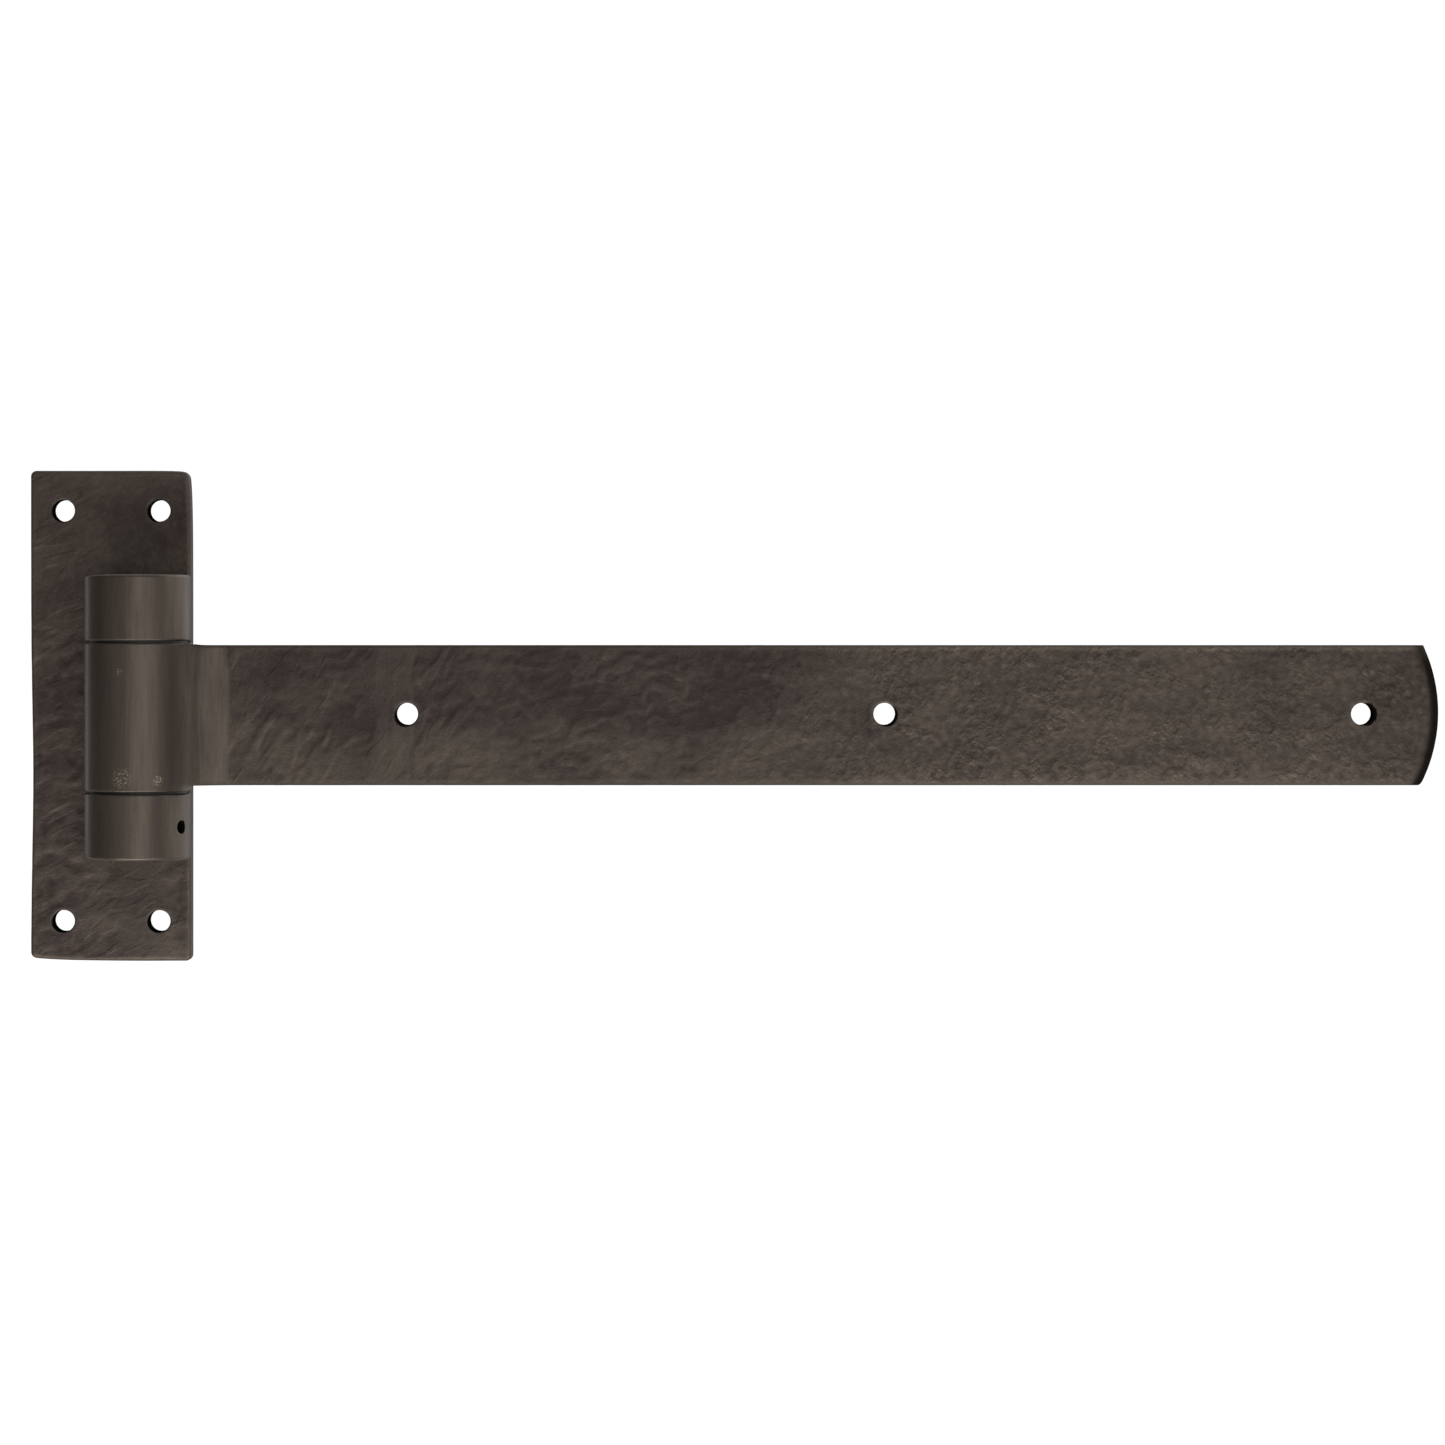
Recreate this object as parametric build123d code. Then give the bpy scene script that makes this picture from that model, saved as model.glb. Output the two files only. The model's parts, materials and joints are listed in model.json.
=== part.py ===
from build123d import *
from math import cos, radians, sin, sqrt
import os

os.makedirs("parts", exist_ok=True)

# A T hinge in millimetres, as it hangs on a post: +X runs along the strap to its tip, +Y goes into
# the post and +Z is up, along the pin. The origin is the centre of the butt plate's back face.

# Butt plate
plate_width = 52.6
plate_height = 159.0
plate_thickness = 6.35
plate_corner_radius = 1.4
plate_edge_rounding = 1.0
plate_hole_side_inset = 10.8  # hole centre to the plate's long edge
plate_hole_end_inset = 13.0  # hole centre to the plate's short edge

# Barrel: two plate knuckles with the strap's knuckle between them
barrel_diameter = 34.3
barrel_overhang = 2.05  # how far the barrel stands out past the plate's long edge
barrel_plate_gap = 0.4  # between the strap's knuckle and the plate's front face
plate_knuckle_length = 21.0
knuckle_outer_rounding = 1.0
knuckle_inner_rounding = 0.4
foot_fillet = 3.0  # hollow between a plate knuckle and the plate
foot_end_inset = 1.2  # the foot is this much shorter than its knuckle at each end

# Strap
strap_width = 44.5
strap_thickness = 6.35
strap_reach = 415.5  # pin axis to the end of the tip
strap_edge_rounding = 1.0
strap_root_fillet = 6.0  # hollow between the strap's back face and its knuckle
strap_blend_radius = 34.0  # long hollow that carries the knuckle down to the strap's front face
strap_blend_reach = 28.8  # pin axis to the crease where that hollow meets the front face
knuckle_step_above = 0.7  # the strap's knuckle stands this far above the strap
knuckle_step_below = 1.85  # and this far below it
tip_radius = 50.0
tip_centre_rise = 0.85  # the tip's curve is struck this far above the strap's centre line
first_bolt_reach = 86.1  # pin axis to the nearest bolt hole
last_bolt_inset = 24.6  # farthest bolt hole to the end of the tip
bolt_count = 3
bolt_line_rise = 0.4  # the bolt holes lie this far above the strap's centre line

# Holes for quarter-inch screws and bolts, in plate and strap
screw_hole_diameter = 7.0
hole_rim_rounding = 0.6

# Pin, thrust washers and set screw
pin_diameter = 12.7
pin_slip_clearance = 0.02  # radial, pin in the plate knuckles
pin_running_clearance = 0.05  # radial, pin in the strap's knuckle
pin_end_recess = 0.6
pin_end_chamfer = 0.8
washer_thickness = 0.8
washer_play = 0.03  # between a washer's face and the knuckle face beside it
washer_rim_inset = 1.5  # the washer's rim sits this far inside the barrel
washer_bore_clearance = 0.1
set_screw_diameter = 4.0
set_screw_clearance = 0.02
set_screw_recess = 2.8  # screw's outer end below the knuckle's surface
set_screw_angle = 64.0  # degrees from the front towards the strap
set_screw_point_diameter = 2.5
set_screw_point_length = 1.2
set_screw_socket_width = 2.0  # across flats
set_screw_socket_depth = 2.0
set_screw_mouth_chamfer = 0.4
pin_dimple_depth = 0.6
pin_dimple_clearance = 0.15

# Sizes and places that follow from the ones above
barrel_radius = barrel_diameter / 2
pin_radius = pin_diameter / 2
hole_radius = screw_hole_diameter / 2
axis_height = barrel_radius + barrel_plate_gap  # pin axis in front of the plate's face
pin_x = plate_width / 2 + barrel_overhang - barrel_radius
pin_y = -(plate_thickness + axis_height)
strap_knuckle_length = strap_width + knuckle_step_above + knuckle_step_below
strap_z = (knuckle_step_below - knuckle_step_above) / 2
washer_gap = washer_thickness + 2 * washer_play
plate_knuckle_z = strap_knuckle_length / 2 + washer_gap + plate_knuckle_length / 2
barrel_height = strap_knuckle_length + 2 * (washer_gap + plate_knuckle_length)
bolt_pitch = (strap_reach - first_bolt_reach - last_bolt_inset) / (bolt_count - 1)
drill_length = 4 * max(plate_thickness, strap_thickness)
slab_start = strap_blend_reach - strap_thickness / 2  # the strap's slab begins inside its root


def hollow_arc(start, end, centre, radius):
    """Short way round from start to end on a circle of the given centre and radius."""
    middle = (Vector(*start) + Vector(*end)) * 0.5 - Vector(*centre)
    return ThreePointArc(start, Vector(*centre) + middle.normalized() * radius, end)


def barrel_touch(centre, fillet):
    """Point where a fillet struck from centre touches the barrel, both seen along the pin."""
    share = barrel_radius / (barrel_radius + fillet)
    return (centre[0] * share, centre[1] * share)


def foot_section():
    """Section of a plate knuckle's foot: flat on the plate, hollow-sided up to the barrel."""
    rise = axis_height - foot_fillet
    centre = (sqrt((barrel_radius + foot_fillet) ** 2 - rise**2), rise)
    touch = barrel_touch(centre, foot_fillet)
    base = (centre[0], axis_height + plate_edge_rounding)
    right_base = (centre[0], axis_height)
    left_base = (-centre[0], axis_height)
    left_touch = (-touch[0], touch[1])
    outline = [
        Line((-base[0], base[1]), base),
        Line(base, right_base),
        hollow_arc(right_base, touch, centre, foot_fillet),
        Line(touch, left_touch),
        hollow_arc(left_touch, left_base, (-centre[0], centre[1]), foot_fillet),
        Line(left_base, (-base[0], base[1])),
    ]
    return make_face(Wire(outline))


def blend_centre():
    """Centre of the long front hollow: its circle touches the barrel and passes through the crease."""
    crease = Vector(strap_blend_reach, -strap_thickness / 2)
    away = barrel_radius + strap_blend_radius
    along = (away**2 - strap_blend_radius**2 + crease.length**2) / (2 * crease.length)
    ahead = crease.normalized()
    forwards = Vector(ahead.Y, -ahead.X)
    middle = ahead * along + forwards * sqrt(away**2 - along**2)
    return (middle.X, middle.Y)


def root_section():
    """Section of the strap's root: a small hollow behind and a long one in front, up to the barrel."""
    rise = strap_thickness / 2 + strap_root_fillet
    centre = (sqrt((barrel_radius + strap_root_fillet) ** 2 - rise**2), rise)
    touch = barrel_touch(centre, strap_root_fillet)
    front_centre = blend_centre()
    front_touch = barrel_touch(front_centre, strap_blend_radius)
    back = (centre[0], strap_thickness / 2)
    back_end = (strap_blend_reach, strap_thickness / 2)
    crease = (strap_blend_reach, -strap_thickness / 2)
    outline = [
        hollow_arc(touch, back, centre, strap_root_fillet),
        Line(back, back_end),
        Line(back_end, crease),
        hollow_arc(crease, front_touch, front_centre, strap_blend_radius),
        Line(front_touch, touch),
    ]
    return make_face(Wire(outline))


def strap_root():
    """The root section over the strap's width, its front edges softened like the strap's."""
    solid = Pos(0, 0, -strap_width / 2) * extrude(root_section(), strap_width)
    rims = [
        edge
        for edge in solid.edges().filter_by(GeomType.CIRCLE)
        if abs(edge.radius - strap_blend_radius) < 0.001
    ]
    return fillet(rims, strap_edge_rounding)


def knuckle(length, lower_rounding, upper_rounding):
    """Barrel knuckle centred on the pin axis, with its end edges rounded."""
    solid = Cylinder(barrel_radius, length)
    rims = solid.edges().filter_by(GeomType.CIRCLE).sort_by(Axis.Z)
    solid = fillet(rims[-1], upper_rounding)
    rims = solid.edges().filter_by(GeomType.CIRCLE).sort_by(Axis.Z)
    return fillet(rims[0], lower_rounding)


def drilled(solid, places, front_y):
    """Drill screw holes straight through along Y and round their front rims."""
    for x, z in places:
        solid -= Pos(x, front_y, z) * Rot(90, 0, 0) * Cylinder(hole_radius, drill_length)
    circles = solid.edges().filter_by(GeomType.CIRCLE)
    rims = [
        edge
        for edge in circles
        if abs(edge.radius - hole_radius) < 0.001 and abs(edge.center().Y - front_y) < 0.001
    ]
    return fillet(rims, hole_rim_rounding)


def screw_plane():
    """Plane on the pin axis at the lower knuckle's middle, facing out along the set screw."""
    turn = radians(set_screw_angle)
    return Plane(origin=(pin_x, pin_y, -plate_knuckle_z), z_dir=(sin(turn), -cos(turn), 0))


def plate_slab():
    """Flat plate with rounded corners and softened front edges, its back face on Y = 0."""
    slab = Pos(0, -plate_thickness / 2, 0) * Box(plate_width, plate_thickness, plate_height)
    slab = fillet(slab.edges().filter_by(Axis.Y), plate_corner_radius)
    front = slab.faces().sort_by(Axis.Y)[0]
    return fillet(front.edges(), plate_edge_rounding)


def make_butt_plate():
    """Plate and its two knuckles in one casting, bored for the pin and drilled for its screws."""
    half_across = plate_width / 2 - plate_hole_side_inset
    half_up = plate_height / 2 - plate_hole_end_inset
    corners = [(x, z) for x in (-half_across, half_across) for z in (-half_up, half_up)]
    solid = drilled(plate_slab(), corners, -plate_thickness)
    foot_length = plate_knuckle_length - 2 * foot_end_inset
    foot = Pos(0, 0, -foot_length / 2) * extrude(foot_section(), foot_length)
    upper = knuckle(plate_knuckle_length, knuckle_inner_rounding, knuckle_outer_rounding) + foot
    lower = knuckle(plate_knuckle_length, knuckle_outer_rounding, knuckle_inner_rounding) + foot
    solid += Pos(pin_x, pin_y, plate_knuckle_z) * upper
    solid += Pos(pin_x, pin_y, -plate_knuckle_z) * lower
    bore_radius = pin_radius + pin_slip_clearance
    solid -= Pos(pin_x, pin_y, 0) * Cylinder(bore_radius, barrel_height + 2)
    tapped_radius = set_screw_diameter / 2 + set_screw_clearance
    outwards = (Align.CENTER, Align.CENTER, Align.MIN)
    solid -= screw_plane() * Cylinder(tapped_radius, barrel_diameter, align=outwards)
    mouth = Cone(tapped_radius, tapped_radius + 2 * set_screw_mouth_chamfer, 2 * set_screw_mouth_chamfer)
    return solid - screw_plane() * Pos(0, 0, barrel_radius) * mouth


def strap_slab():
    """Flat strap from inside its root to its rounded tip, with softened front edges."""
    half_width = strap_width / 2
    arc_x = strap_reach - tip_radius
    upper_x = arc_x + sqrt(tip_radius**2 - (half_width - tip_centre_rise) ** 2)
    lower_x = arc_x + sqrt(tip_radius**2 - (half_width + tip_centre_rise) ** 2)
    tip = (strap_reach, tip_centre_rise)
    outline = [
        Line((slab_start, -half_width), (lower_x, -half_width)),
        ThreePointArc((lower_x, -half_width), tip, (upper_x, half_width)),
        Line((upper_x, half_width), (slab_start, half_width)),
        Line((slab_start, half_width), (slab_start, -half_width)),
    ]
    upright = Plane(origin=(0, strap_thickness / 2, 0), x_dir=(1, 0, 0), z_dir=(0, -1, 0))
    slab = extrude(upright * make_face(Wire(outline)), strap_thickness)
    front = slab.faces().sort_by(Axis.Y)[0]
    softened = [edge for edge in front.edges() if edge.center().X > strap_blend_reach + 1]
    return fillet(softened, strap_edge_rounding)


def make_strap():
    """Strap and its knuckle in one casting, bored for the pin and drilled for its bolts."""
    solid = strap_slab() + strap_root()
    places = [(first_bolt_reach + step * bolt_pitch, bolt_line_rise) for step in range(bolt_count)]
    solid = Pos(0, 0, strap_z) * drilled(solid, places, -strap_thickness / 2)
    solid += knuckle(strap_knuckle_length, knuckle_inner_rounding, knuckle_inner_rounding)
    solid -= Cylinder(pin_radius + pin_running_clearance, barrel_height)
    return Pos(pin_x, pin_y, 0) * solid


def make_hinge_pin():
    """Plain pin with chamfered ends and a dimple for the set screw's point."""
    solid = Cylinder(pin_radius, barrel_height - 2 * pin_end_recess)
    solid = chamfer(solid.edges().filter_by(GeomType.CIRCLE), pin_end_chamfer)
    solid = Pos(pin_x, pin_y, 0) * solid
    dimple_radius = set_screw_point_diameter / 2 + pin_dimple_clearance
    outwards = (Align.CENTER, Align.CENTER, Align.MIN)
    dimple = Pos(0, 0, pin_radius - pin_dimple_depth) * Cylinder(dimple_radius, pin_radius, align=outwards)
    return solid - screw_plane() * dimple


def make_set_screw():
    """Socket set screw with a dog point that seats in the pin's dimple."""
    tip = pin_radius - pin_dimple_depth
    shoulder = tip + set_screw_point_length
    head = barrel_radius - set_screw_recess
    outwards = (Align.CENTER, Align.CENTER, Align.MIN)
    point = Cylinder(set_screw_point_diameter / 2, shoulder - tip, align=outwards)
    shank = Cylinder(set_screw_diameter / 2, head - shoulder, align=outwards)
    socket = extrude(RegularPolygon(set_screw_socket_width / 2, 6, major_radius=False), -set_screw_socket_depth)
    solid = Pos(0, 0, tip) * point + Pos(0, 0, shoulder) * shank
    return screw_plane() * (solid - Pos(0, 0, head) * socket)


def make_washer(side):
    """Thrust washer between the strap's knuckle and a plate knuckle, above (1) or below (-1)."""
    solid = Cylinder(barrel_radius - washer_rim_inset, washer_thickness)
    solid -= Cylinder(pin_radius + washer_bore_clearance, 2 * washer_thickness)
    return Pos(pin_x, pin_y, side * (strap_knuckle_length + washer_gap) / 2) * solid


hinge = {
    "butt_plate": make_butt_plate(),
    "strap": make_strap(),
    "hinge_pin": make_hinge_pin(),
    "set_screw": make_set_screw(),
    "upper_washer": make_washer(1),
    "lower_washer": make_washer(-1),
}

for name, piece in hinge.items():
    export_step(piece, f"parts/{name}.step")
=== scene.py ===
import json
from functools import partial
from itertools import product
from math import asin, atan2, cos, hypot, pi, radians, sin, sqrt

import bmesh
import bpy
import numpy as np
from bpy.props import FloatProperty, PointerProperty, StringProperty
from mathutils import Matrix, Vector


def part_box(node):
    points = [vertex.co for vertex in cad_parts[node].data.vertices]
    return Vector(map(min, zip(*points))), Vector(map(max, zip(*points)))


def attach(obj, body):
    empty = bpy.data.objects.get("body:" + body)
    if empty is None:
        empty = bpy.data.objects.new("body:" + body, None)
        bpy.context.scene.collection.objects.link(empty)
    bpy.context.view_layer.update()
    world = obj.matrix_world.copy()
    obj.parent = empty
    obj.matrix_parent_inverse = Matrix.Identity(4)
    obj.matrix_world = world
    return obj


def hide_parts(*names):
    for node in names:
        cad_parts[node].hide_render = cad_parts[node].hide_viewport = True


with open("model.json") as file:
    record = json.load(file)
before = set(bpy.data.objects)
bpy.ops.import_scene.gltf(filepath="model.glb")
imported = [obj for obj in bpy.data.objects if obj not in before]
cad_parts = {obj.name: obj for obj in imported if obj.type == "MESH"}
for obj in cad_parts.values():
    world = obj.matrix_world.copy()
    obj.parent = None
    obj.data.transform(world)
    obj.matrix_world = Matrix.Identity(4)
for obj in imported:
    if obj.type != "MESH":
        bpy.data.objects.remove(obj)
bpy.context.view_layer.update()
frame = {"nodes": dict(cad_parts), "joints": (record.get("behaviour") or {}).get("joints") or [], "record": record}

bl_info = {
    "name": "T Hinge",
    "version": (1, 0, 0),
    "blender": (4, 5, 0),
    "location": "View3D > Sidebar > T Hinge",
    "description": "Cast skins, finishes and studio for a T hinge",
    "category": "Add Mesh",
}

# Everything below is in metres, in the frame's axes: +X along the strap, -Y towards the viewer, +Z up.
MM = 0.001
MOUNTS = {mount["name"]: mount for mount in frame["record"]["mounts"]}
AXIS = Vector(frame["joints"][0]["pos_m"])
PLATE_LOW, PLATE_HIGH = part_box("butt_plate")
STRAP_LOW, STRAP_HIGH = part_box("strap")
PIN_LOW, PIN_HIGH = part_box("hinge_pin")
SCREW_LOW, SCREW_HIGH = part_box("set_screw")
BARREL_RADIUS = (STRAP_HIGH.y - STRAP_LOW.y) / 2
PIN_RADIUS = (PIN_HIGH.x - PIN_LOW.x) / 2
PLATE_RIGHT = -PLATE_LOW.x  # the origin is the centre of the plate's back
PLATE_THICKNESS = -2 * MOUNTS["plate_screws"]["pos_m"][1]
STRAP_THICKNESS = 2 * (MOUNTS["strap_back"]["pos_m"][1] - AXIS.y)
STRAP_FRONT = AXIS.y - STRAP_THICKNESS / 2
SPREAD = MOUNTS["plate_screws"]["dims"]
HOLE_RADIUS = SPREAD["hole_r_mm"] * MM
HOLE_X, HOLE_Z = SPREAD["spacing_x_mm"] * MM / 2, SPREAD["spacing_y_mm"] * MM / 2
BOLT_Z = MOUNTS["strap_end_bolts"]["pos_m"][2]
BOLT_REACH = MOUNTS["strap_end_bolts"]["dims"]["spacing_x_mm"] * MM / 2
BOLT_PLACES = [MOUNTS["strap_middle_bolt"]["pos_m"][0] + step * BOLT_REACH for step in (-1, 0, 1)]


def length(name, description, millimetres):
    """A length that a user may change."""
    return FloatProperty(name=name, description=description, default=millimetres * MM, unit="LENGTH")


def tint(name, description, hex_colour):
    """A colour that a user may change, as sRGB hex."""
    return StringProperty(name=name, description=description, default=hex_colour)


class HingeSizes(bpy.types.PropertyGroup):
    """Sizes of the castings that the frame's boxes don't give."""

    pitch: length("Grid pitch", "Spacing of the skin's grid lines", 0.6)
    strap_width: length("Strap width", "Height of the strap", 44.5)
    strap_rise: length("Strap rise", "From the knuckle's middle up to the strap's centre line", 0.575)
    strap_edge: length("Strap edge", "Rounding of the strap's long edges", 1.0)
    root_fillet: length("Root fillet", "Radius of the hollow between the strap's back and knuckle", 6.0)
    blend_radius: length("Front blend", "Radius of the long hollow down to the strap's front", 34.0)
    blend_reach: length("Blend's reach", "From the pin's axis to the long hollow's crease", 28.8)
    tip_radius: length("Tip radius", "Radius of the strap's rounded end", 50.0)
    tip_rise: length("Tip rise", "From the strap's centre line up to the tip's centre", 0.85)
    tip_roll: length("Tip roll", "Width of the worn slope round the tip", 3.4)
    plate_corner: length("Plate corner", "Radius of the plate's corners", 1.9)
    knuckle_length: length("Knuckle length", "Height of each plate knuckle", 21.0)
    foot_fillet: length("Foot fillet", "Radius of the hollow between a plate knuckle and the plate", 3.0)
    relief: FloatProperty(
        name="Relief", description="Strength of the cast skin's lumps", default=1.0, min=0, max=2
    )


class HingeFinish(bpy.types.PropertyGroup):
    """Colours of the finishes."""

    patina_dark: tint("Patina, hollows", "Patina where it lies thick", "#3b3230")
    patina_light: tint("Patina, lumps", "Patina where it is thin", "#5e554c")
    # Painted shade: near black laid where shade falls, on the screw holes' walls and the crescents beside them, in
    # the set screw's hole, round the strap's tip and along its long edges.
    grime: tint("Grime", "Thick dark patina in holes and round the tip", "#0e0b0a")
    rubbed: tint("Rubbed bronze", "Bronze that shows on edges and high spots", "#7a7064")
    ground: tint("Ground bronze", "Bronze of the ground knuckles", "#625a50")
    ground_dark: tint("Ground bronze, stained", "Its darker streaks", "#504641")
    chipped: tint("Chipped patina", "Bare flecks on a knuckle", "#9a8b7d")
    steel: tint("Steel", "Turned steel of the pin", "#a5a29c")
    black: tint("Black", "Nylon of the washers", "#141414")


class HingeStage(bpy.types.PropertyGroup):
    """Camera, lights and floor."""

    distance: length("Camera distance", "From the pin's axis", 1300.0)
    view_width: length("View width", "Width of the view at the pin's axis", 462.0)
    aim_x: length("Aim", "Camera's place along the strap", 198.0)
    eye_z: length("Eye height", "Camera's height above the origin", 24.6)
    view_z: length("View centre", "Height of the picture's middle", -1.8)
    drop: length("Floor drop", "From the origin down to the floor", 600.0)


# ---- grids ----


def stations(breaks, pitch):
    """Even steps of about the pitch between each pair of places, always an even number of them."""
    parts = [np.array(breaks[:1], float)]
    for start, stop in zip(breaks, breaks[1:]):
        steps = 2 * max(1, round((stop - start) / (2 * pitch)))
        parts.append(np.linspace(start, stop, steps + 1)[1:])
    return np.concatenate(parts)


def edge_steps(width, steps=4):
    """Distances from an edge, crowded towards it as a quarter circle's are: width (1 - cos t)."""
    return width * (1 - np.cos(np.linspace(0, pi / 2, steps + 1)))


def with_edges(low, high, width, inner_breaks, pitch):
    """Grid lines from low to high: crowded over a rounding at each end, even in between."""
    inner = stations([low + width, *inner_breaks, high - width], pitch)
    steps = edge_steps(width)
    return np.concatenate([low + steps[:-1], inner, (high - steps[:-1])[::-1]])


def nearest(lines, place):
    return int(np.abs(lines - place).argmin())


def roll(distance, width, depth):
    """How far a face drops near its edge: a quarter ellipse of that width and depth."""
    share = 1 - np.clip(distance / width, 0, 1)
    return depth * (1 - np.sqrt(1 - share**2))


def smooth(value, start, stop):
    """0 before start, 1 after stop, and 3t^2 - 2t^3 in between."""
    t = np.clip((value - start) / (stop - start), 0, 1)
    return t * t * (3 - 2 * t)


def stacked(x, y, z):
    return np.stack(np.broadcast_arrays(x, y, z), axis=-1).astype(float)


def border(grid, block):
    """Points round a block of a grid, from its low corner and back to it."""
    i0, i1, j0, j1 = block
    sides = [grid[i0:i1, j0], grid[i1, j0:j1], grid[i1:i0:-1, j1], grid[i0, j1:j0:-1], grid[i0:i0 + 1, j0]]
    return np.concatenate(sides)


def block_round(x_lines, z_lines, centre, reach):
    """Grid block whose sides lie at that reach from a centre."""
    return (
        nearest(x_lines, centre[0] - reach),
        nearest(x_lines, centre[0] + reach),
        nearest(z_lines, centre[1] - reach),
        nearest(z_lines, centre[1] + reach),
    )


def cells(grid, blocks):
    """True for each cell of a grid that lies outside the blocks."""
    keep = np.ones((grid.shape[0] - 1, grid.shape[1] - 1), bool)
    for i0, i1, j0, j1 in blocks:
        keep[i0:i1, j0:j1] = False
    return keep


def between(first, last, steps):
    """Even rows of points from one line of points to another."""
    share = np.linspace(0, 1, steps + 1)[:, None, None]
    return first + (last - first) * share


class Skin:
    """Patches of grid points that meet along shared lines and are welded into one closed mesh."""

    def __init__(self):
        self.points = []
        self.faces = []
        self.count = 0

    def numbered(self, grid):
        """Store a grid's points and return their numbers, in the grid's own shape."""
        numbers = self.count + np.arange(grid.shape[0] * grid.shape[1]).reshape(grid.shape[:2])
        self.points.append(grid.reshape(-1, 3))
        self.count += numbers.size
        return numbers

    def fine(self, grid, keep=True):
        """Add one four-sided face for each cell that is kept."""
        n = self.numbered(grid)
        corners = np.stack([n[:-1, :-1], n[1:, :-1], n[1:, 1:], n[:-1, 1:]], axis=-1)
        self.faces.append(corners[np.broadcast_to(keep, corners.shape[:2])])

    def coarse(self, grid, keep):
        """Add one face for each kept block of two by two cells, with the midpoints of its open sides."""
        n = self.numbered(grid)
        corner = n[::2, ::2]
        kept = keep[::2, ::2]
        around = np.pad(kept, 1)
        sides = [
            (corner[:-1, :-1], n[1::2, :-1:2], around[1:-1, :-2]),
            (corner[1:, :-1], n[2::2, 1::2], around[2:, 1:-1]),
            (corner[1:, 1:], n[1::2, 2::2], around[1:-1, 2:]),
            (corner[:-1, 1:], n[:-1:2, 1::2], around[:-2, 1:-1]),
        ]
        for pattern in product((False, True), repeat=4):
            chosen = kept.copy()
            columns = []
            for (first, middle, neighbour), is_open in zip(sides, pattern):
                chosen &= neighbour != is_open
                columns += [first, middle] if is_open else [first]
            self.faces.append(np.stack(columns, axis=-1)[chosen])

    def weld(self, name):
        """Mesh object of the patches, joined where their points coincide, its faces turned outwards."""
        corners = np.concatenate([faces.ravel() for faces in self.faces])
        used, renumbered = np.unique(corners, return_inverse=True)
        cuts = np.cumsum([faces.size for faces in self.faces])[:-1]
        parts = zip(np.split(renumbered, cuts), self.faces)
        faces = [face for flat, old in parts for face in flat.reshape(old.shape).tolist()]
        mesh = bpy.data.meshes.new(name)
        mesh.from_pydata(np.concatenate(self.points)[used], [], faces)
        work = bmesh.new()
        work.from_mesh(mesh)
        bmesh.ops.remove_doubles(work, verts=work.verts, dist=0.002 * MM)
        bmesh.ops.recalc_face_normals(work, faces=work.faces)
        work.to_mesh(mesh)
        work.free()
        edge_of_corner = np.empty(len(mesh.loops), np.int32)
        mesh.loops.foreach_get("edge_index", edge_of_corner)
        open_edges = int((np.bincount(edge_of_corner, minlength=len(mesh.edges)) != 2).sum())
        if open_edges:
            raise RuntimeError(f"{name} has {open_edges} edges that aren't closed")
        piece = bpy.data.objects.new(name, mesh)
        bpy.context.scene.collection.objects.link(piece)
        return piece


# ---- shapes that both castings share ----

RIM = 0.65 * MM  # softened front rim of a screw hole
LIP = 0.3 * MM  # and its back rim
HOLE_REACH = 6.0 * MM  # half the square of grid that is drawn in to a hole
BACK_EDGE = 0.45 * MM
TIP_DROP = 2.1 * MM  # how far the worn slope round the strap's tip goes back
LEVEL = 0.25 * MM  # how far the castings' skin lies below its high spots on average
WALL_STEPS = 7
ROOT_STEPS = 12


def round_corners(x, z, low, high, radius):
    """Squeeze a rectangle's corner squares into quarter discs: u sqrt(1 - v^2/2), v sqrt(1 - u^2/2)."""
    inner_x = np.clip(x, low[0] + radius, high[0] - radius)
    inner_z = np.clip(z, low[1] + radius, high[1] - radius)
    u, v = (x - inner_x) / radius, (z - inner_z) / radius
    return inner_x + radius * u * np.sqrt(1 - v**2 / 2), inner_z + radius * v * np.sqrt(1 - u**2 / 2)


def outline_distance(x, z, low, high, radius):
    """Distance in from the outline of a rectangle with rounded corners."""
    from_x = np.abs(x - (low[0] + high[0]) / 2) - (high[0] - low[0]) / 2 + radius
    from_z = np.abs(z - (low[1] + high[1]) / 2) - (high[1] - low[1]) / 2 + radius
    outside = np.hypot(np.maximum(from_x, 0), np.maximum(from_z, 0))
    return radius - outside - np.minimum(np.maximum(from_x, from_z), 0)


def hole_skin(front, back, centre):
    """A drilled hole: a square of grid points drawn in to a circle, over the rim, down and out behind."""
    spoke = front[:, (0, 2)] - np.array(centre)
    spoke /= np.linalg.norm(spoke, axis=1)[:, None]
    front_y, back_y = front[0, 1], back[0, 1]

    def circle(radius, y):
        return stacked(centre[0] + radius * spoke[:, 0], y, centre[1] + radius * spoke[:, 1])

    shares = np.linspace(0, 1, 6)[:-1]
    quarter = np.linspace(0, pi / 2, 5)
    wall = np.linspace(front_y + RIM, back_y - LIP, 4)[1:-1]
    rows = [front + (circle(HOLE_RADIUS + RIM, front_y) - front) * share for share in shares]
    rows += [circle(HOLE_RADIUS + RIM * (1 - sin(t)), front_y + RIM * (1 - cos(t))) for t in quarter]
    rows += [circle(HOLE_RADIUS, y) for y in wall]
    rows += [circle(HOLE_RADIUS + LIP * (1 - cos(t)), back_y - LIP * (1 - sin(t))) for t in quarter[::2]]
    rows += [back + (circle(HOLE_RADIUS + LIP, back_y) - back) * share for share in shares[::-1]]
    return np.array(rows)


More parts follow.
